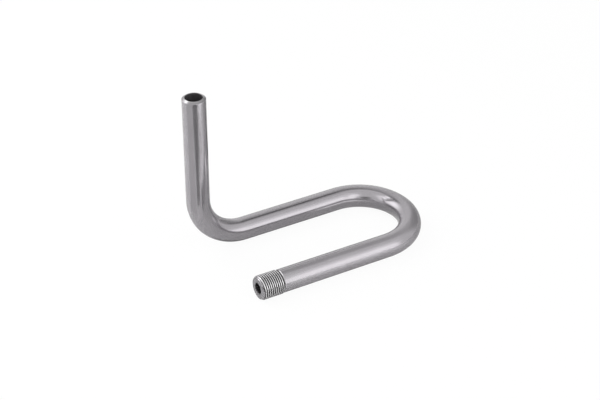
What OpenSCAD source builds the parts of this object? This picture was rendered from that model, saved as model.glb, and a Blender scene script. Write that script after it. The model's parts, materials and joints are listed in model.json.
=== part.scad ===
// Pressure gauge siphon, U form: a bent stainless tube with a return bend and an elbow,
// a plain weld end on the upright leg and a turned threaded nipple on the gauge end.
// Millimetres. It lies on its return bend, with the plain leg upright.

/* [Tube] */
// Outside diameter of the tube
tube_d = 20; // [14:0.1:30]
// Wall thickness of the tube
tube_wall = 2.6; // [1.5:0.1:4]
// Width of the square ring that the weld bevel leaves round the bore of the plain end
land_w = 0.5; // [0.4:0.1:1.2]
// Slope of the weld bevel, up from the flat of the end face
bevel_angle = 33.5; // [20:0.5:45]
// Corner broken off the inside edge of the plain end
bore_break = 0.2; // [0.1:0.1:0.3]

/* [Bends] */
// Radius of the return bend, to the tube's centreline
return_r = 42.5; // [32:0.5:80]
// Radius of the elbow, to the tube's centreline
elbow_r = 42.5; // [32:0.5:80]

/* [Legs] */
// Straight length of the gauge leg, from the return bend to the nipple's end face
gauge_leg = 125; // [70:0.5:240]
// Straight length of the middle leg, between the two bends
middle_leg = 92.5; // [20:0.5:240]
// Straight length of the upright plain leg, from the elbow to its end face
plain_leg = 97.5; // [20:0.5:240]

/* [Thread] */
// Major diameter of the pipe thread
thread_d = 20.955; // [18:0.001:26.441]
// Pitch of the thread
thread_pitch = 1.814; // [1.337:0.001:2.309]
// Corner taken off the front of the thread, measured along the radius
lead_in = 1.2; // [0.8:0.05:2]
// Length of that corner, measured along the axis
lead_in_l = 1.9; // [0.8:0.05:2.5]

/* [Nipple] */
// Length that stands in front of the nipple's shoulder, thread and groove together
thread_reach = 20; // [14:0.1:26]
// Width of the run-out groove at the shoulder
groove_w = 1; // [0.4:0.1:2.5]
// Depth of the run-out groove below the thread's root
groove_h = 0.25; // [0:0.05:0.5]
// Corner broken off the shoulder behind the groove
shoulder_break = 0.8; // [0.2:0.1:1]
// Length of the collar behind the shoulder, up to the butt joint with the tube
collar_l = 15; // [10:0.5:30]
// Diameter of the throttle bore through the threaded end
nipple_bore = 9; // [4:0.1:10]
// Corner broken off the mouth of the throttle bore
mouth_break = 0.3; // [0.1:0.1:0.8]
// Depth of the wide bore in the collar, which carries on the tube's own bore
wide_bore_l = 8; // [2:0.5:9]

/* [Hidden] */
$fn = 96;

STEEL = [0.74, 0.73, 0.75];
TURNED_STEEL = [0.66, 0.65, 0.67];

tube_r = tube_d / 2;
bore_r = tube_r - tube_wall;
bevel_w = tube_wall - land_w;
bevel_h = bevel_w * tan(bevel_angle);
nipple_l = thread_reach + collar_l;

// Whitworth form: the ridge's height as a share of the pitch, and the angle between its flanks
RIDGE_HEIGHT = 0.6403;
FLANK_ANGLE = 55;
thread_h = RIDGE_HEIGHT * thread_pitch;
thread_r = thread_d / 2;
root_r = thread_r - thread_h;
groove_r = root_r - groove_h;
thread_l = thread_reach - groove_w;
// Width of one flank, and of the narrow crest between two of them, which is as wide as the root
flank_w = thread_h * tan(FLANK_ANGLE / 2);
crest_w = thread_pitch / 2 - flank_w;
ridge_count = floor(thread_l / thread_pitch);

// How far a cutting shape runs past the face that it cuts
past = 1;

// Centreline from the nipple to the plain end. A run is [length]. A bend is
// [radius, angle, turn], where turn is the direction it leans to, about the run before it.
CENTRELINE = [
    [gauge_leg - nipple_l],
    [return_r, 180, 0],
    [middle_leg],
    [elbow_r, 90, 90],
    [plain_leg]
];

// Corners of the box round the whole part, with the elbow's tangent point as zero
widest_r = max(tube_r, thread_r);
x_low = min(-elbow_r - tube_r, middle_leg - gauge_leg);
x_high = middle_leg + return_r + tube_r;
y_low = -2 * return_r - widest_r;
y_high = tube_r;
z_low = -widest_r;

// Carries its children from the nipple's end face, where +Z runs into the nipple and +X leans
// towards the return bend, to the place on the lying part whose box stands on z = 0
module from_gauge_end() {
    translate([-(x_low + x_high) / 2, -(y_low + y_high) / 2, -z_low])
        translate([middle_leg - gauge_leg, -2 * return_r, 0])
            rotate([90, 0, 90])
                children();
}

// The tube's wall, cut square across
module wall_section() {
    difference() {
        circle(r = tube_r);
        circle(r = bore_r);
    }
}

// Carries its children round a bend, from its start to its end
module past_bend(radius, angle) {
    translate([radius, 0, 0])
        rotate([0, angle, 0])
            translate([-radius, 0, 0])
                children();
}

// One straight run of the tube, along +Z
module straight_wall(length) {
    linear_extrude(height = length) wall_section();
}

// One bend of the tube, which starts along +Z and leans towards +X
module bent_wall(radius, angle) {
    translate([radius, 0, 0])
        rotate([90, 0, 180])
            rotate_extrude(angle = angle)
                translate([radius, 0]) wall_section();
}

// Carries its children past the first count sections of the path
module past_sections(path, count, i = 0) {
    if (i == count) {
        children();
    } else if (len(path[i]) == 1) {
        translate([0, 0, path[i][0]])
            past_sections(path, count, i + 1) children();
    } else {
        rotate([0, 0, path[i][2]])
            past_bend(path[i][0], path[i][1])
                past_sections(path, count, i + 1) children();
    }
}

// The tube's wall along every section of the path
module wall_along(path) {
    for (i = [0 : len(path) - 1])
        past_sections(path, i) {
            if (len(path[i]) == 1)
                straight_wall(path[i][0]);
            else
                rotate([0, 0, path[i][2]]) bent_wall(path[i][0], path[i][1]);
        }
}

// What a bevel of width w and height h takes off the outside edge of a round end that lies
// on z = 0 and faces +Z, with half a bevel more on both sides
module outside_bevel(r, w, h) {
    rotate_extrude()
        polygon([[r - 1.5 * w, h / 2], [r + w / 2, h / 2], [r + w / 2, -1.5 * h]]);
}

// What a chamfer takes off the inside edge of such an end
module inside_chamfer(r, c) {
    translate([0, 0, -c])
        cylinder(r1 = r, r2 = r + c + past, h = c + past);
}

module siphon_tube() {
    color(STEEL)
        from_gauge_end()
            translate([0, 0, nipple_l])
                difference() {
                    wall_along(CENTRELINE);
                    past_sections(CENTRELINE, len(CENTRELINE)) {
                        outside_bevel(tube_r, bevel_w, bevel_h);
                        inside_chamfer(bore_r, bore_break);
                    }
                }
}

// Half section of one thread ridge, with the middle of its crest at height z
module ridge_section(z) {
    polygon([
        [groove_r, z - crest_w / 2 - flank_w],
        [root_r, z - crest_w / 2 - flank_w],
        [thread_r, z - crest_w / 2],
        [thread_r, z + crest_w / 2],
        [root_r, z + crest_w / 2 + flank_w],
        [groove_r, z + crest_w / 2 + flank_w]
    ]);
}

// Half section of the solid nipple, end face at z = 0: threaded core, groove and collar,
// with the ridges kept inside the lead-in chamfer
module nipple_section() {
    square([groove_r, thread_reach]);
    intersection() {
        union() {
            square([root_r, thread_l]);
            for (i = [1 : ridge_count])
                ridge_section(thread_l - (i - 0.5) * thread_pitch);
        }
        polygon([
            [0, 0],
            [thread_r - lead_in, 0],
            [thread_r, lead_in_l],
            [thread_r, thread_l],
            [0, thread_l]
        ]);
    }
    polygon([
        [0, thread_reach],
        [tube_r - shoulder_break, thread_reach],
        [tube_r, thread_reach + shoulder_break],
        [tube_r, nipple_l],
        [0, nipple_l]
    ]);
}

// Half section of the passage: throttle bore with a broken mouth, a 45 degree step,
// and a wide bore as wide as the tube's
module passage_section() {
    throat_r = nipple_bore / 2;
    wide_start = nipple_l - wide_bore_l;
    polygon([
        [0, -past],
        [throat_r + mouth_break + past, -past],
        [throat_r, mouth_break],
        [throat_r, wide_start - (bore_r - throat_r)],
        [bore_r, wide_start],
        [bore_r, nipple_l + past],
        [0, nipple_l + past]
    ]);
}

module threaded_nipple() {
    color(TURNED_STEEL)
        from_gauge_end()
            rotate_extrude()
                difference() {
                    nipple_section();
                    passage_section();
                }
}

siphon_tube();
threaded_nipple();
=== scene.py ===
"""The looks of a pressure gauge siphon: a bent, polished stainless tube with a turned, threaded
nipple at its gauge end. Lengths are in metres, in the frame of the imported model."""
import json
import math

import bmesh
import bpy
import numpy as np
from mathutils import Matrix, Vector


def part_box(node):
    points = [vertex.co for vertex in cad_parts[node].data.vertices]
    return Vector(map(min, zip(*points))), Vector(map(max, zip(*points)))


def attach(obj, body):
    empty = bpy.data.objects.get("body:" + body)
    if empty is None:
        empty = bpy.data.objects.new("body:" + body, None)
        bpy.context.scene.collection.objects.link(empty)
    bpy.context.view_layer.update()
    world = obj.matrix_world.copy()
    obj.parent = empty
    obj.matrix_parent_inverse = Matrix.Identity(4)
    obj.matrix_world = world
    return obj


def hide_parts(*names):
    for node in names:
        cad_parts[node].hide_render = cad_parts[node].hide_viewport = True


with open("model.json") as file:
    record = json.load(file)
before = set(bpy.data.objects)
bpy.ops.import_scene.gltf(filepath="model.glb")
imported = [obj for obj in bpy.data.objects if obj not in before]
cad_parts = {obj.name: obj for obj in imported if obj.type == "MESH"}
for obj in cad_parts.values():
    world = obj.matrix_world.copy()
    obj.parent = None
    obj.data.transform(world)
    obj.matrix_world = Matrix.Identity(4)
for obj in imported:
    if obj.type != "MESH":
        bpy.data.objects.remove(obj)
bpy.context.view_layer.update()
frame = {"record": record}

# ---------------------------------------------------------------- sizes that the frame gives

MM = 0.001
MOUNTS = {mount["name"]: mount for mount in frame["record"]["mounts"]}


def mount_place(name):
    return Vector(MOUNTS[name]["pos_m"])


def mount_size(name, key):
    return MOUNTS[name]["dims"][key] * MM


tube_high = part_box("siphon_tube")[1]
nipple_low, nipple_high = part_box("threaded_nipple")

TUBE_R = mount_size("weld_end", "r_mm")
BORE_R = mount_size("weld_end_bore", "r_mm")
THREAD_R = mount_size("gauge_thread", "r_mm")
THROAT_R = mount_size("throttle_bore", "r_mm")

GAUGE_Y = mount_place("gauge_thread").y
MIDDLE_Y = mount_place("weld_end").y
FLAT_Z = mount_place("gauge_thread").z
PLAIN_X = mount_place("weld_end").x
FACE_X = nipple_low.x
JOINT_X = nipple_high.x
RETURN_R = (MIDDLE_Y - GAUGE_Y) / 2
RETURN_X = tube_high.x - TUBE_R - RETURN_R
ELBOW_TOP_Z = mount_place("weld_end_bore").z - mount_size("weld_end_bore", "length_mm") / 2
ELBOW_R = ELBOW_TOP_Z - FLAT_Z
END_Z = tube_high.z

BEVEL_H = END_Z - ELBOW_TOP_Z - mount_size("weld_end", "length_mm")
BORE_BREAK = (END_Z - mount_place("weld_end_bore").z
              - mount_size("weld_end_bore", "length_mm") / 2)
MOUTH_BREAK = (mount_place("throttle_bore").x - mount_size("throttle_bore", "length_mm") / 2
               - FACE_X)
LEAD_IN_L = (mount_place("gauge_thread").x - mount_size("gauge_thread", "length_mm") / 2
             - FACE_X)

# ---------------------------------------------------------------- sizes of the fine detail

AROUND = 144                 # points round every ring
BEND_STEP = math.radians(2)
STRAIGHT_STEP = 6 * MM
TUBE_SHARP = 50              # degrees past which an edge stays crisp
NIPPLE_SHARP = 40
WELD_DISTANCE = 0.0001 * MM  # points closer than this become one
LAND_W = 0.5 * MM            # square ring that the weld bevel leaves round the bore
BEVEL_ROUND = 0.25 * MM      # softening of the bevel's outer edge
EDGE_ROUND = 0.12 * MM       # softening of the finer edges

PITCH = 1.814 * MM           # pipe thread, with 55 degrees between its flanks
FLANK_TILT = math.radians(27.5)
CREST_FLAT = 0.11 * PITCH    # half the flat top; the standard form is round here
CREST_ROUND = 0.08 * MM
ROOT_ROUND = 0.1373 * PITCH
THREAD_L = 19 * MM
REACH = 20 * MM              # from the end face to the shoulder behind the groove
LEAD_IN = 1.2 * MM
GROOVE_H = 0.25 * MM
SHOULDER_BREAK = 0.8 * MM
WIDE_BORE_L = 8 * MM

# The flank of the ridge, from the round at its flat top to the round in the root
FLANK_START = CREST_FLAT + CREST_ROUND * math.cos(FLANK_TILT)
FLANK_END = PITCH / 2 - ROOT_ROUND * math.cos(FLANK_TILT)
FLANK_R = THREAD_R - CREST_ROUND * (1 - math.sin(FLANK_TILT))
ROOT_R = (FLANK_R - (FLANK_END - FLANK_START) / math.tan(FLANK_TILT)
          - ROOT_ROUND * (1 - math.sin(FLANK_TILT)))
RIDGE_H = THREAD_R - ROOT_R

# Colours of the steel. A part of the metal's light is a haze, which fine scratches give it
METALLIC = 0.78
TUBE_SHADE = (0.3425, 0.3275, 0.346)
TUBE_BRIGHT = (0.3605, 0.3455, 0.364)
TUBE_LINE = (0.3915, 0.3755, 0.395)
CUT_SHADE = (0.23, 0.223, 0.232)
CUT_BRIGHT = (0.31, 0.302, 0.312)
# Painted shade: the tube's bore is darker than its mill scale, for the shade inside the hollow
BORE_SCALE_AND_SHADE_DARK = (0.13, 0.125, 0.13)
BORE_SCALE_AND_SHADE_LIGHT = (0.20, 0.192, 0.20)
NIPPLE_SHADE = (0.338, 0.3275, 0.3425)
NIPPLE_BRIGHT = (0.356, 0.3455, 0.3605)
# Painted shade: the nipple's end face is darker, for the shadowed floor beside it that it
# reflects
FACE_PAINTED_SHADE = (0.27, 0.262, 0.275)
# Wear and painted highlight: the thread's crests and the shoulder's corner are lighter
WEAR_AND_HIGHLIGHT_COLOUR = (0.66, 0.655, 0.66)
# Oil, and painted shade where the ridges shade the thread's roots
ROOT_OIL_AND_SHADE = (0.085, 0.082, 0.086)
# Oil and painted shade in the groove; painted shade in the nipple's bore and round its mouth
OIL_AND_SHADE_DARK = (0.04, 0.038, 0.04)
OIL_AND_SHADE_LIGHT = (0.09, 0.086, 0.09)
ROOT_START = 0.20            # share of the ridge's height where the root's oil and painted shade start
ROOT_FULL = 0.50             # and where it is full

# Lumps to the metre of each pattern, along the tube and across it
DRAWN_LINES = (25, 2600, 2600)
TUBE_CLOUD = (45, 90, 90)
NIPPLE_CLOUD = (60, 110, 110)
MILL_SCALE = (700, 1500, 1500)
GRIME = (500, 500, 500)
CUT_MARKS = 9000
LATHE_MARKS = 7000

# Where one finish, painted shade or painted highlight gives way to the next
WALL_START = BORE_R + 0.02 * MM      # from the bore's finish and painted shade to that of the cut wall
WALL_END = BORE_R + 0.12 * MM
FACE_START = 0.01 * MM               # from the nipple's end face to its thread
FACE_END = 0.06 * MM
GROOVE_EDGE = 0.02 * MM
MOUTH_START = THROAT_R + MOUTH_BREAK + 0.1 * MM      # the painted shade round the mouth fades
MOUTH_END = THROAT_R + MOUTH_BREAK + 0.4 * MM
OIL_AND_SHADE_START = THREAD_L - 0.1 * MM     # oil and painted shade darken the groove and its shoulder
OIL_AND_SHADE_END = REACH + 0.4 * SHOULDER_BREAK
OIL_AND_SHADE_EDGE = 0.08 * MM
CORNER_SHIFT = 0.05 * MM             # how far the shoulder's worn corner, lit with painted highlight, lies behind its edge
CORNER_EDGE = 0.1 * MM
LINE_SHARE = 0.25                    # of the drawn lines' colour
CORNER_SHARE = 0.3                   # of the wear and painted highlight on the shoulder's corner

# Roughness of each surface, and the depth of the marks
SMOOTHEST, LEAST_SMOOTH = 0.145, 0.19
MILL_ROUGH = 0.42
CUT_ROUGH = 0.26
ROOT_ROUGH = 0.4
DIRT_ROUGH = 0.5
FACE_ROUGH = 0.28
MARK_DEPTH = 0.0008 * MM
CUT_MARK_HEIGHT = 2.0        # times the drawn lines' height
MILL_SCALE_HEIGHT = 12.0
THREAD_MARK_HEIGHT = 1.5
COLLAR_MARK_HEIGHT = 0.15
COLLAR_START = 1.2 * REACH   # where the lathe marks have faded to the collar's

# ---------------------------------------------------------------- mesh helpers


class Station:
    """A cross-section of a round piece: its centre, heading and a direction square to it."""

    def __init__(self, centre, heading, up, along):
        self.centre = Vector(centre)
        self.heading = Vector(heading)
        self.up = Vector(up)
        self.side = self.heading.cross(self.up)
        self.along = along

    def shifted(self, distance):
        return Station(self.centre + self.heading * distance, self.heading, self.up,
                       self.along + distance)


def ring(station, radius):
    """Points on a circle round the station, and where they lie on the tube before it is bent.
    radius is a length or a function of the angle."""
    angles = np.arange(AROUND) / AROUND * 2 * math.pi
    radii = np.array([radius(a) if callable(radius) else radius for a in angles])
    across = radii[:, None] * np.cos(angles)[:, None] * np.array(station.up)
    across = across + radii[:, None] * np.sin(angles)[:, None] * np.array(station.side)
    unbent = np.stack([np.full(AROUND, station.along), radii * np.cos(angles),
                       radii * np.sin(angles)], axis=1)
    return np.array(station.centre) + across, unbent


def piece_from(name, points, faces, unbent, sharp_angle):
    """A smooth-shaded object. Edges sharper than the angle stay crisp, and the attribute
    'unbent' keeps each point's place on the straight tube, which the finish follows."""
    mesh = bpy.data.meshes.new(name)
    mesh.from_pydata([tuple(p) for p in points], [], [tuple(f) for f in faces])
    layer = mesh.attributes.new("unbent", "FLOAT_VECTOR", "POINT")
    layer.data.foreach_set("vector", np.asarray(unbent, float).ravel())
    mesh.polygons.foreach_set("use_smooth", [True] * len(mesh.polygons))
    mesh.set_sharp_from_angle(angle=math.radians(sharp_angle))
    mesh.update()
    piece = bpy.data.objects.new(name, mesh)
    bpy.context.scene.collection.objects.link(piece)
    return piece


def ring_faces(first, second):
    """Quads between two rings, given the numbers of their first points."""
    return [(first + j, first + (j + 1) % AROUND, second + (j + 1) % AROUND, second + j)
            for j in range(AROUND)]


def lathe_along(rings, closed):
    """Joins rings of points in order, and the last to the first if closed."""
    points = np.vstack([r[0] for r in rings])
    unbent = np.vstack([r[1] for r in rings])
    faces = []
    count = len(rings)
    for i in range(count if closed else count - 1):
        faces += ring_faces(i * AROUND, (i + 1) % count * AROUND)
    return points, faces, unbent


# ---------------------------------------------------------------- the bent tube


def straight_run(start, length):
    """Stations along a straight stretch, without its first."""
    steps = max(1, round(length / STRAIGHT_STEP))
    return [start.shifted(length * (i + 1) / steps) for i in range(steps)]


def bend_run(start, towards, radius, angle):
    """Stations round a bend that leaves start and leans towards a direction square to it."""
    steps = round(angle / BEND_STEP)
    hub = start.centre + Vector(towards) * radius
    axis = start.heading.cross(Vector(towards))
    stations = []
    for i in range(steps):
        turn = Matrix.Rotation(angle * (i + 1) / steps, 3, axis)
        stations.append(Station(hub + turn @ (start.centre - hub), turn @ start.heading,
                                turn @ start.up, start.along + radius * angle * (i + 1) / steps))
    return stations


def tube_stations():
    """The tube's centreline, from the nipple's joint to the plain end."""
    stations = [Station((JOINT_X, GAUGE_Y, FLAT_Z), (1, 0, 0), (0, 0, 1), JOINT_X - FACE_X)]
    stations += straight_run(stations[-1], RETURN_X - JOINT_X)
    stations += bend_run(stations[-1], (0, 1, 0), RETURN_R, math.pi)
    stations += straight_run(stations[-1], RETURN_X - (PLAIN_X + ELBOW_R))
    stations += bend_run(stations[-1], (0, 0, 1), ELBOW_R, math.pi / 2)
    stations += straight_run(stations[-1], END_Z - ELBOW_TOP_Z)
    return stations


def rounded_corner(before, corner, after, radius, steps=4):
    """Points of an arc that replaces the corner of an outline."""
    before, corner, after = Vector(before), Vector(corner), Vector(after)
    to_before = (before - corner).normalized()
    to_after = (after - corner).normalized()
    half = to_before.angle(to_after) / 2
    reach = radius / math.tan(half)
    hub = corner + (to_before + to_after).normalized() * radius / math.sin(half)
    first = corner + to_before * reach - hub
    last = corner + to_after * reach - hub
    points = []
    for i in range(steps + 1):
        blend = first.lerp(last, i / steps).normalized() * radius
        points.append(hub + blend)
    return points


def rim_outline():
    """The plain end in section, as (radius, distance from the end), from outside to inside."""
    corners = [(TUBE_R, -2 * BEVEL_H), (TUBE_R, -BEVEL_H), (BORE_R + LAND_W, 0),
               (BORE_R + BORE_BREAK, 0), (BORE_R, -BORE_BREAK), (BORE_R, -2 * BEVEL_H)]
    rounds = [BEVEL_ROUND, EDGE_ROUND, EDGE_ROUND / 2, EDGE_ROUND / 2]
    outline = [Vector(corners[0])]
    for i, radius in enumerate(rounds):
        outline += rounded_corner(corners[i], corners[i + 1], corners[i + 2], radius)
    outline.append(Vector(corners[-1]))
    return outline


def make_tube():
    stations = tube_stations()
    end = stations[-1]
    body = [s for s in stations if end.along - s.along > 2.5 * BEVEL_H]
    rings = [ring(s, TUBE_R) for s in body]
    rings += [ring(end.shifted(depth), radius) for radius, depth in rim_outline()]
    rings += [ring(s, BORE_R) for s in reversed(body)]
    return piece_from("polished_tube", *lathe_along(rings, closed=True), TUBE_SHARP)


# ---------------------------------------------------------------- the threaded nipple


def ridge_radius(along):
    """Radius of the thread at a distance from the middle of a crest."""
    off = abs((along + PITCH / 2) % PITCH - PITCH / 2)
    if off < CREST_FLAT:
        return THREAD_R
    if off < FLANK_START:
        return THREAD_R - CREST_ROUND + math.sqrt(CREST_ROUND ** 2 - (off - CREST_FLAT) ** 2)
    if off > FLANK_END:
        back = PITCH / 2 - off
        return ROOT_R + ROOT_ROUND - math.sqrt(ROOT_ROUND ** 2 - back ** 2)
    return FLANK_R - (off - FLANK_START) / math.tan(FLANK_TILT)


def ridge_stops():
    """Where the points of one pitch lie, close together on the crest and in the root."""
    corner = FLANK_START - CREST_FLAT
    right = [CREST_FLAT] + [CREST_FLAT + corner * f for f in (0.45, 0.8, 1)]
    root = [PITCH / 2 + (PITCH / 2 - FLANK_END) * f for f in (-1, -0.7, -0.35, 0, 0.35, 0.7, 1)]
    return [-off for off in reversed(right)] + right + [PITCH / 4] + root + [3 * PITCH / 4]


def thread_sheet(crest_at):
    """The helical ridge as a grid, whose rows climb one pitch in a turn. crest_at is the
    distance of the last crest from the end face, at angle 0."""
    stops = ridge_stops()
    per_pitch = len(stops)
    first_turn = -math.ceil(crest_at / PITCH) - 2
    last_turn = math.ceil((THREAD_L - crest_at) / PITCH) + 1
    rows = [crest_at + turn * PITCH + stop
            for turn in range(first_turn, last_turn) for stop in stops]
    points, unbent, places = [], [], []
    for row in rows:
        for j in range(AROUND):
            angle = j / AROUND * 2 * math.pi
            along = min(max(row + PITCH * j / AROUND, 0), THREAD_L)
            radius = ridge_radius(along - crest_at - PITCH * j / AROUND)
            radius = min(radius, THREAD_R - LEAD_IN + along * LEAD_IN / LEAD_IN_L)
            points.append((FACE_X + along, GAUGE_Y - radius * math.sin(angle),
                           FLAT_Z + radius * math.cos(angle)))
            unbent.append((along, radius * math.cos(angle), radius * math.sin(angle)))
            places.append(along)
    faces = []
    for k in range(len(rows) - 1):
        for j in range(AROUND):
            wrap = per_pitch if j == AROUND - 1 else 0
            following = (j + 1) % AROUND
            if k + 1 + wrap >= len(rows):
                continue
            quad = (k * AROUND + j, (k + wrap) * AROUND + following,
                    (k + 1 + wrap) * AROUND + following, (k + 1) * AROUND + j)
            ends = {places[q] for q in quad}
            if ends != {0} and ends != {THREAD_L}:
                faces.append(quad)
    return points, faces, unbent


def nipple_rings():
    """Rings of everything but the thread: groove, shoulder and collar outside, and the
    passage inside, as (radius, distance from the end face)."""
    length = JOINT_X - FACE_X
    groove_r = ROOT_R - GROOVE_H
    wide_start = length - WIDE_BORE_L
    outside = [(groove_r, THREAD_L), (groove_r, REACH), (TUBE_R - SHOULDER_BREAK, REACH)]
    outside += rounded_corner((TUBE_R - SHOULDER_BREAK, REACH), (TUBE_R, REACH + SHOULDER_BREAK),
                              (TUBE_R, length), EDGE_ROUND)
    outside += [(TUBE_R, length)]
    inside = [(BORE_R, length), (BORE_R, wide_start),
              (THROAT_R, wide_start - (BORE_R - THROAT_R)), (THROAT_R, MOUTH_BREAK),
              (THROAT_R + MOUTH_BREAK, 0), (THREAD_R - LEAD_IN, 0)]
    return outside + inside


def make_nipple():
    crest_at = THREAD_L - PITCH / 2
    points, faces, unbent = thread_sheet(crest_at)
    start = Station((FACE_X, GAUGE_Y, FLAT_Z), (1, 0, 0), (0, 0, 1), 0)
    rings = [ring(start.shifted(along), radius) for radius, along in nipple_rings()]
    edge = ring(start.shifted(THREAD_L), lambda a: ridge_radius(
        THREAD_L - crest_at - PITCH * a / (2 * math.pi)))
    rings = [edge] + rings
    more_points, more_faces, more_unbent = lathe_along(rings, closed=False)
    offset = len(points)
    points = list(points) + [tuple(p) for p in more_points]
    unbent = list(unbent) + [tuple(u) for u in more_unbent]
    faces = faces + [tuple(i + offset for i in f) for f in more_faces]
    nipple = piece_from("turned_nipple", points, faces, unbent, NIPPLE_SHARP)
    weld_points(nipple, WELD_DISTANCE)
    nipple.data.set_sharp_from_angle(angle=math.radians(NIPPLE_SHARP))
    return nipple


def weld_points(piece, distance):
    """Joins points that lie on each other, and drops points that no face uses."""
    work = bmesh.new()
    work.from_mesh(piece.data)
    bmesh.ops.remove_doubles(work, verts=work.verts, dist=distance)
    bmesh.ops.dissolve_degenerate(work, edges=work.edges, dist=distance)
    loose = [v for v in work.verts if not v.link_faces]
    bmesh.ops.delete(work, geom=loose, context="VERTS")
    bmesh.ops.recalc_face_normals(work, faces=work.faces)
    work.to_mesh(piece.data)
    work.free()
    piece.data.update()


# ---------------------------------------------------------------- materials


class Nodes:
    """A short way to write the node tree of a material."""

    def __init__(self, name):
        self.material = bpy.data.materials.new(name)
        self.material.use_nodes = True
        self.tree = self.material.node_tree
        self.tree.nodes.clear()
        self.output = self.tree.nodes.new("ShaderNodeOutputMaterial")

    def add(self, kind, inputs, **settings):
        """A node with its settings made and its inputs fed by numbers or by other outputs."""
        node = self.tree.nodes.new(kind)
        for key, value in settings.items():
            setattr(node, key, value)
        for key, value in inputs.items():
            if isinstance(value, bpy.types.NodeSocket):
                self.tree.links.new(value, node.inputs[key])
            else:
                node.inputs[key].default_value = value
        return node

    def math(self, operation, a, b=0.0):
        return self.add("ShaderNodeMath", {0: a, 1: b}, operation=operation).outputs[0]

    def fade(self, value, start, end, low=0.0, high=1.0):
        """Goes softly from low at start to high at end."""
        return self.add("ShaderNodeMapRange", {"Value": value, "From Min": start, "From Max": end,
                                               "To Min": low, "To Max": high},
                        interpolation_type="SMOOTHSTEP").outputs["Result"]

    def between(self, value, start, end, soft):
        """1 from start to end and 0 elsewhere, with soft edges."""
        rise = self.fade(value, start - soft, start + soft)
        fall = self.fade(value, end - soft, end + soft, 1.0, 0.0)
        return self.math("MULTIPLY", rise, fall)

    def unbent(self):
        """Each point's place before the tube was bent: all three numbers, the distance along
        the tube, and the distance from its centreline."""
        place = self.add("ShaderNodeAttribute", {}, attribute_name="unbent").outputs["Vector"]
        split = self.add("ShaderNodeSeparateXYZ", {0: place}).outputs
        across = self.add("ShaderNodeCombineXYZ", {"Y": split["Y"], "Z": split["Z"]}).outputs[0]
        radius = self.add("ShaderNodeVectorMath", {0: across}, operation="LENGTH")
        return place, split["X"], radius.outputs["Value"]

    def noise(self, place, stretch, detail=2.0):
        """Noise from 0 to 1 with so many lumps to the metre along the tube and across it."""
        scaled = self.add("ShaderNodeVectorMath", {0: place, 1: stretch}, operation="MULTIPLY")
        return self.add("ShaderNodeTexNoise", {"Vector": scaled.outputs[0], "Scale": 1.0,
                                               "Detail": detail}).outputs[0]

    def rings(self, distance, per_metre):
        """Noise along one distance only, which is what a lathe tool leaves."""
        return self.add("ShaderNodeTexNoise", {"W": distance, "Scale": per_metre,
                                               "Detail": 2.0}, noise_dimensions="1D").outputs[0]

    def blend(self, share, first, second):
        """A colour between two others."""
        node = self.add("ShaderNodeMix", {0: share}, data_type="RGBA")
        for socket, colour in zip((node.inputs[6], node.inputs[7]), (first, second)):
            if isinstance(colour, bpy.types.NodeSocket):
                self.tree.links.new(colour, socket)
            else:
                socket.default_value = (*colour, 1)
        return node.outputs[2]

    def bump(self, height, depth):
        return self.add("ShaderNodeBump", {"Height": height, "Distance": depth,
                                           "Strength": 1.0}).outputs[0]

    def steel(self, colour, roughness, normal):
        """Ends the tree of a metal."""
        shader = self.add("ShaderNodeBsdfPrincipled", {
            "Base Color": colour, "Roughness": roughness, "Normal": normal, "Metallic": METALLIC})
        return self.surface(shader.outputs[0])

    def glow(self, brightness, share, rest):
        """Ends the tree of a card or the floor: a share of even white light over the rest."""
        light = self.add("ShaderNodeEmission", {"Strength": brightness}).outputs[0]
        return self.surface(self.add("ShaderNodeMixShader",
                                     {0: share, 1: rest, 2: light}).outputs[0])

    def surface(self, shader):
        self.tree.links.new(shader, self.output.inputs["Surface"])
        return self.material


def polished_steel():
    """The tube: drawn and polished outside, mill finish and painted shade inside, cut bright at
    the end.
    """
    n = Nodes("polished_steel")
    place, along, radius = n.unbent()
    lines = n.noise(place, DRAWN_LINES)
    cloud = n.noise(place, TUBE_CLOUD, 3.0)
    scale = n.noise(place, MILL_SCALE, 3.0)
    inside = n.fade(radius, WALL_START, WALL_END, 1.0, 0.0)
    length = tube_stations()[-1].along
    cut = n.math("MULTIPLY", n.fade(along, length - BEVEL_H, length - 0.8 * BEVEL_H),
                 n.fade(radius, WALL_START, WALL_END))
    tint = n.blend(n.fade(cloud, 0.3, 0.7), TUBE_SHADE, TUBE_BRIGHT)
    tint = n.blend(n.math("MULTIPLY", n.fade(lines, 0.55, 0.8), LINE_SHARE), tint, TUBE_LINE)
    new_cut = n.fade(along, length - BEVEL_H, length - 0.3 * BEVEL_H)
    tint = n.blend(cut, tint, n.blend(new_cut, CUT_SHADE, CUT_BRIGHT))
    # The bore's mill scale, darkened further with painted shade
    tint = n.blend(inside, tint, n.blend(scale, BORE_SCALE_AND_SHADE_DARK, BORE_SCALE_AND_SHADE_LIGHT))
    rough = n.fade(cloud, 0.25, 0.75, SMOOTHEST, LEAST_SMOOTH)
    rough = n.math("MAXIMUM", rough, n.math("MULTIPLY", inside, MILL_ROUGH))
    rough = n.math("MAXIMUM", rough, n.math("MULTIPLY", cut, CUT_ROUGH))
    marks = n.rings(radius, CUT_MARKS)
    height = n.math("MULTIPLY", lines, n.math("SUBTRACT", 1.0, n.math("MAXIMUM", cut, inside)))
    cut_height = n.math("MULTIPLY", n.math("MULTIPLY", cut, marks), CUT_MARK_HEIGHT)
    inside_height = n.math("MULTIPLY", n.math("MULTIPLY", inside, scale), MILL_SCALE_HEIGHT)
    height = n.math("ADD", n.math("ADD", height, cut_height), inside_height)
    return n.steel(tint, rough, n.bump(height, MARK_DEPTH))


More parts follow.
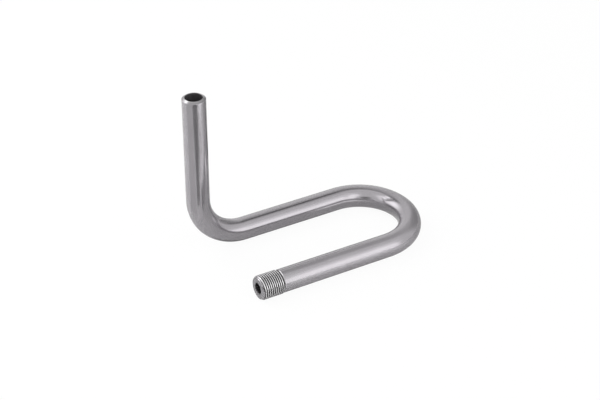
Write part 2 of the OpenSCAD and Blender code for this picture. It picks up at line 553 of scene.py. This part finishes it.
def turned_steel():
    """The nipple: lathe marks, oil and painted shade in the roots and groove, painted shade in
    the bore and round its mouth, and wear and painted highlight on the crests and corners.
    """
    n = Nodes("turned_steel")
    place, along, radius = n.unbent()
    cloud = n.noise(place, NIPPLE_CLOUD, 3.0)
    grime = n.noise(place, GRIME, 3.0)
    lines = n.noise(place, DRAWN_LINES)
    cone = n.add("ShaderNodeMapRange", {"Value": along, "From Min": 0.0, "From Max": LEAD_IN_L,
                                        "To Min": THREAD_R - LEAD_IN, "To Max": THREAD_R})
    depth = n.math("DIVIDE", n.math("SUBTRACT", cone.outputs["Result"], radius), RIDGE_H)
    threaded = n.math("MULTIPLY", n.fade(along, FACE_START, FACE_END),
                      n.fade(along, REACH - GROOVE_EDGE, REACH + GROOVE_EDGE, 1.0, 0.0))
    inside = n.fade(radius, WALL_START, WALL_END, 1.0, 0.0)
    inside = n.math("MULTIPLY", inside, n.fade(along, 0, 0.3 * MOUTH_BREAK))
    root = n.math("MULTIPLY", threaded, n.fade(depth, ROOT_START, ROOT_FULL))
    root = n.math("MULTIPLY", root, n.fade(grime, 0.2, 0.6, 0.85, 1.0))
    crest = n.math("MULTIPLY", threaded, n.fade(depth, 0.02, 0.22, 1.0, 0.0))
    crest = n.math("MULTIPLY", crest, n.fade(along, 0.6 * LEAD_IN_L, LEAD_IN_L))
    corner = n.between(along, REACH + CORNER_SHIFT, REACH + SHOULDER_BREAK + CORNER_SHIFT,
                       CORNER_EDGE)
    face = n.fade(along, FACE_START, FACE_END, 1.0, 0.0)
    tint = n.blend(n.fade(cloud, 0.3, 0.7), NIPPLE_SHADE, NIPPLE_BRIGHT)
    # Painted shade on the end face
    tint = n.blend(face, tint, FACE_PAINTED_SHADE)
    # Wear and painted highlight on the crests and on the shoulder's corner
    wear_and_highlight = n.math("MAXIMUM", crest, n.math("MULTIPLY", corner, CORNER_SHARE))
    tint = n.blend(wear_and_highlight, tint, WEAR_AND_HIGHLIGHT_COLOUR)
    # Oil and painted shade in the roots
    tint = n.blend(root, tint, ROOT_OIL_AND_SHADE)
    # Oil and painted shade in the groove; painted shade in the bore and round the mouth
    oil_and_shade = n.between(along, OIL_AND_SHADE_START, OIL_AND_SHADE_END, OIL_AND_SHADE_EDGE)
    mouth = n.fade(radius, MOUTH_START, MOUTH_END, 1.0, 0.0)
    oil_and_shade = n.math("MAXIMUM", oil_and_shade, n.math("MAXIMUM", inside, mouth))
    tint = n.blend(oil_and_shade, tint, n.blend(grime, OIL_AND_SHADE_DARK, OIL_AND_SHADE_LIGHT))
    rough = n.fade(cloud, 0.25, 0.75, SMOOTHEST, LEAST_SMOOTH)
    rough = n.math("MAXIMUM", rough, n.math("MULTIPLY", root, ROOT_ROUGH))
    rough = n.math("MAXIMUM", rough, n.math("MULTIPLY", oil_and_shade, DIRT_ROUGH))
    rough = n.math("MAXIMUM", rough, n.math("MULTIPLY", face, FACE_ROUGH))
    marks = n.rings(n.math("ADD", along, radius), LATHE_MARKS)
    mark_height = n.fade(along, REACH + SHOULDER_BREAK, COLLAR_START, THREAD_MARK_HEIGHT,
                         COLLAR_MARK_HEIGHT)
    line_height = n.math("MULTIPLY", lines, n.fade(along, REACH, COLLAR_START))
    height = n.math("ADD", n.math("MULTIPLY", marks, mark_height), line_height)
    return n.steel(tint, rough, n.bump(height, MARK_DEPTH))


# ---------------------------------------------------------------- studio and camera

FLOOR_HALF = 4.0
FLOOR_COLOUR = (0.86, 0.86, 0.86, 1)
EYE_WHITE = 0.94             # how much of the floor is plain white light to the camera
METAL_WHITE = 0.15           # and to the metal; the rest is lit, and takes shadows
AIR_SEEN = 1.0               # brightness of the world to the camera and the metal
AIR_LIGHT = 0.8              # and to matt surfaces, which it lights
CARD_STEP = 0.04 * MM        # the floor cards lie on each other, so far apart

CAMERA_AZIMUTH = -30.07      # degrees
CAMERA_ELEVATION = 32.35
CAMERA_ROLL = -0.05
CAMERA_DISTANCE = 1351 * MM
CAMERA_TARGET = Vector((2.4, 29.5, 30.8)) * MM
LENS = 93.8                  # millimetres, as Blender gives lenses and sensors
SENSOR = 36


def ray_level(tree, to_eye, to_metal, otherwise):
    """A number that depends on who looks: the camera, a mirror or glass, or anything else."""
    path = tree.nodes.new("ShaderNodeLightPath")
    total = otherwise
    for ray, level in (("Is Camera Ray", to_eye), ("Is Glossy Ray", to_metal),
                       ("Is Transmission Ray", to_metal)):
        step = tree.nodes.new("ShaderNodeMath")
        step.operation = "MULTIPLY_ADD"
        step.inputs[1].default_value = level - otherwise
        tree.links.new(path.outputs[ray], step.inputs[0])
        if total is otherwise:
            step.inputs[2].default_value = otherwise
        else:
            tree.links.new(total, step.inputs[2])
        total = step.outputs[0]
    return total


def make_floor():
    """A pale floor that looks white, and still takes a soft shadow."""
    half = FLOOR_HALF
    mesh = bpy.data.meshes.new("floor")
    mesh.from_pydata([(-half, -half, 0), (half, -half, 0), (half, half, 0), (-half, half, 0)],
                     [], [(0, 1, 2, 3)])
    floor = bpy.data.objects.new("floor", mesh)
    bpy.context.scene.collection.objects.link(floor)
    n = Nodes("white_sweep")
    plain = n.add("ShaderNodeBsdfDiffuse", {"Color": FLOOR_COLOUR}).outputs[0]
    mesh.materials.append(n.glow(1.0, ray_level(n.tree, EYE_WHITE, METAL_WHITE, 0.0), plain))


def soft_rectangle(n, soft_x, soft_y):
    """1 in the middle of a card and 0 at its edges. The card spans -1 to 1 both ways."""
    place = n.add("ShaderNodeTexCoord", {}).outputs["Object"]
    split = n.add("ShaderNodeSeparateXYZ", {0: place}).outputs
    wide = n.fade(n.math("ABSOLUTE", split["X"]), 1, 1 - soft_x)
    high = n.fade(n.math("ABSOLUTE", split["Y"]), 1, 1 - soft_y)
    return n.math("MULTIPLY", wide, high)


def soft_wedge(n, softness, half_angle, near):
    """1 in a wedge that leaves the middle of a card along X, and 0 outside it. It starts at
    near, a share of the card's half width."""
    place = n.add("ShaderNodeTexCoord", {}).outputs["Object"]
    split = n.add("ShaderNodeSeparateXYZ", {0: place}).outputs
    angle = n.math("ABSOLUTE", n.math("ARCTAN2", split["Y"], split["X"]))
    reach = n.add("ShaderNodeVectorMath", {0: place}, operation="LENGTH").outputs["Value"]
    across = n.fade(angle, half_angle, half_angle * (1 - softness))
    along = n.math("MULTIPLY", n.fade(reach, near, 1.5 * near), n.fade(reach, 1, 0.7))
    return n.math("MULTIPLY", across, along)


def card_object(name, brightness, mask, *shape):
    """A soft-edged card that gives off an even light, darker or brighter than the studio."""
    mesh = bpy.data.meshes.new(name)
    mesh.from_pydata([(-1, -1, 0), (1, -1, 0), (1, 1, 0), (-1, 1, 0)], [], [(0, 1, 2, 3)])
    card = bpy.data.objects.new(name, mesh)
    bpy.context.scene.collection.objects.link(card)
    n = Nodes(name)
    clear = n.add("ShaderNodeBsdfTransparent", {}).outputs[0]
    mesh.materials.append(n.glow(brightness, mask(n, *shape), clear))
    card.visible_camera = False
    card.visible_shadow = False
    return card


def hang_card(name, azimuth, elevation, half_wide, half_high, brightness, softness, turn,
              distance):
    """A card that faces the object. Azimuth runs from +Y towards +X, and the half sizes are
    the angles that the card fills."""
    card = card_object(name, brightness, soft_rectangle, softness, softness)
    azimuth, elevation = math.radians(azimuth), math.radians(elevation)
    away = Vector((math.sin(azimuth) * math.cos(elevation),
                   math.cos(azimuth) * math.cos(elevation), math.sin(elevation)))
    right = Vector((math.cos(azimuth), -math.sin(azimuth), 0))
    up = right.cross(away)
    if up.z < 0:
        up = -up
    turn = math.radians(turn)
    wide = right * math.cos(turn) + up * math.sin(turn)
    high = up * math.cos(turn) - right * math.sin(turn)
    half_wide = distance * math.tan(math.radians(half_wide))
    half_high = distance * math.tan(math.radians(half_high))
    card.matrix_world = Matrix.Translation(away * distance) @ Matrix(
        (wide * half_wide, high * half_high, wide.cross(high))).transposed().to_4x4()


def for_metal_only(card):
    """Only reflections show the card: it lights no matt surface, and isn't sampled as a lamp."""
    card.visible_diffuse = False
    card.data.materials[0].cycles.emission_sampling = "NONE"


def lay(card, x, y, half_x, half_y, turn, layer):
    """Lays a card on the floor."""
    card.matrix_world = Matrix.Translation((x, y, layer * CARD_STEP)) @ Matrix.Rotation(
        math.radians(turn), 4, "Z") @ Matrix.Diagonal((half_x, half_y, 1, 1))
    for_metal_only(card)


def lay_card(name, x, y, half_x, half_y, brightness, softness, turn, layer):
    """A card on the floor at a place."""
    card = card_object(name, brightness, soft_rectangle, softness, softness)
    lay(card, x, y, half_x, half_y, turn, layer)


def float_card(name, x, y, z, half_x, half_y, brightness, soft_x, soft_y):
    """A level strip that hangs above the object's lower legs."""
    card = card_object(name, brightness, soft_rectangle, soft_x, soft_y)
    card.matrix_world = Matrix.Translation((x, y, z)) @ Matrix.Diagonal((half_x, half_y, 1, 1))
    for_metal_only(card)


def lay_wedge(name, azimuth, half_angle, near, far, brightness, softness, layer):
    """A wedge on the floor that leaves the plain leg's foot at an azimuth from +Y towards +X."""
    card = card_object(name, brightness, soft_wedge, softness, math.radians(half_angle),
                       near / far)
    lay(card, PLAIN_X, MIDDLE_Y, far, far, 90 - azimuth, layer)


def make_cards():
    """The studio's cards. The functions above name what each number is."""
    hang_card("overhead_softbox", 155, 45, 35, 20, 1.4, 0.8, 15, distance=1.90)
    hang_card("back_card", 20, 30, 25, 15, 1.0, 0.85, 0, distance=1.85)
    hang_card("key_softbox", 155, 15, 25, 30, 2.2, 0.7, -10, distance=1.80)
    hang_card("front_softbox", 185, 25, 20, 35, 2.2, 0.65, -15, distance=1.75)
    hang_card("left_softbox", 305, 30, 45, 30, 2.7, 0.8, -20, distance=1.70)
    hang_card("crescent_softbox", 325, 50, 15, 10, 6.0, 0.6, 0, distance=1.65)
    hang_card("peak_softbox", 150, 20, 20, 10, 2.3, 0.85, 0, distance=1.60)
    hang_card("upper_card", 170, 60, 30, 10, 1.3, 0.8, 10, distance=1.55)
    hang_card("right_dark_card", 70, 15, 35, 40, 0.35, 0.85, 5, distance=1.50)
    hang_card("overhead_dark_card", 50, 60, 35, 25, 0.5, 0.95, -5, distance=1.45)
    hang_card("camera_dark_card", 225, 15, 20, 15, 0.05, 0.8, 10, distance=1.40)
    float_card("dark_strip", 0.01, 0.055, 0.08, 0.08, 0.013, 0.0, 0.25, 0.45)
    lay_card("floor_front_card", 0.10, -0.08, 0.20, 0.04, 1.7, 0.8, 10, layer=1)
    lay_card("floor_bright_card", 0.14, -0.33, 0.20, 0.20, 2.3, 0.7, -5, layer=2)
    lay_card("floor_right_card", 0.18, 0.08, 0.36, 0.27, 0.5, 0.6, -20, layer=3)
    lay_card("floor_dark_card", -0.18, -0.24, 0.15, 0.15, 0.1, 0.55, 5, layer=4)
    lay_wedge("floor_left_wedge", 250, 35, 0.04, 0.6, 0.75, 0.35, layer=5)
    lay_wedge("floor_far_wedge", 310, 25, 0.035, 0.6, 1.1, 0.55, layer=6)
    lay_wedge("floor_dark_wedge", 200, 20, 0.075, 0.6, 0.15, 0.65, layer=7)
    lay_card("floor_gap_card", 0.06, -0.015, 0.025, 0.03, 1.5, 0.65, 0, layer=8)
    # Painted shadow: two dark floor cards under the legs stand in for their contact shadows in
    # the metal's reflections
    lay_card("gauge_contact_shadow_card", -0.005, -0.045, 0.075, 0.0055, 0.1, 0.5, 0, layer=9)
    lay_card("middle_contact_shadow_card", -0.015, 0.04, 0.075, 0.0055, 0.1, 0.5, 0, layer=10)


def make_camera():
    """The camera stands at an azimuth and an elevation from the point it looks at."""
    azimuth, elevation = math.radians(CAMERA_AZIMUTH), math.radians(CAMERA_ELEVATION)
    back = Vector((math.sin(azimuth) * math.cos(elevation),
                   -math.cos(azimuth) * math.cos(elevation), math.sin(elevation)))
    right = Vector((math.cos(azimuth), math.sin(azimuth), 0))
    level = Matrix((right, back.cross(right), back)).transposed()
    data = bpy.data.cameras.new("camera")
    data.lens = LENS
    data.sensor_width = SENSOR
    data.clip_start, data.clip_end = 0.05, 20
    camera = bpy.data.objects.new("camera", data)
    camera.matrix_world = Matrix.Translation(CAMERA_TARGET + back * CAMERA_DISTANCE) @ (
        level @ Matrix.Rotation(math.radians(CAMERA_ROLL), 3, "Z")).to_4x4()
    bpy.context.scene.collection.objects.link(camera)
    bpy.context.scene.camera = camera


def make_world():
    """Plain white light from all round, which the metal shows too."""
    world = bpy.data.worlds.new("studio")
    world.use_nodes = True
    air = world.node_tree.nodes["Background"]
    air.inputs["Color"].default_value = (1, 1, 1, 1)
    world.node_tree.links.new(ray_level(world.node_tree, AIR_SEEN, AIR_SEEN, AIR_LIGHT),
                              air.inputs["Strength"])
    bpy.context.scene.world = world


make_camera()
tube = make_tube()
nipple = make_nipple()
tube.data.materials.append(polished_steel())
nipple.data.materials.append(turned_steel())
for piece, node, slot in ((tube, "siphon_tube", "tube"), (nipple, "threaded_nipple", "nipple")):
    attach(piece, "root")
    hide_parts(node)
make_floor()
make_cards()
make_world()
bpy.context.scene.view_settings.view_transform = "Standard"
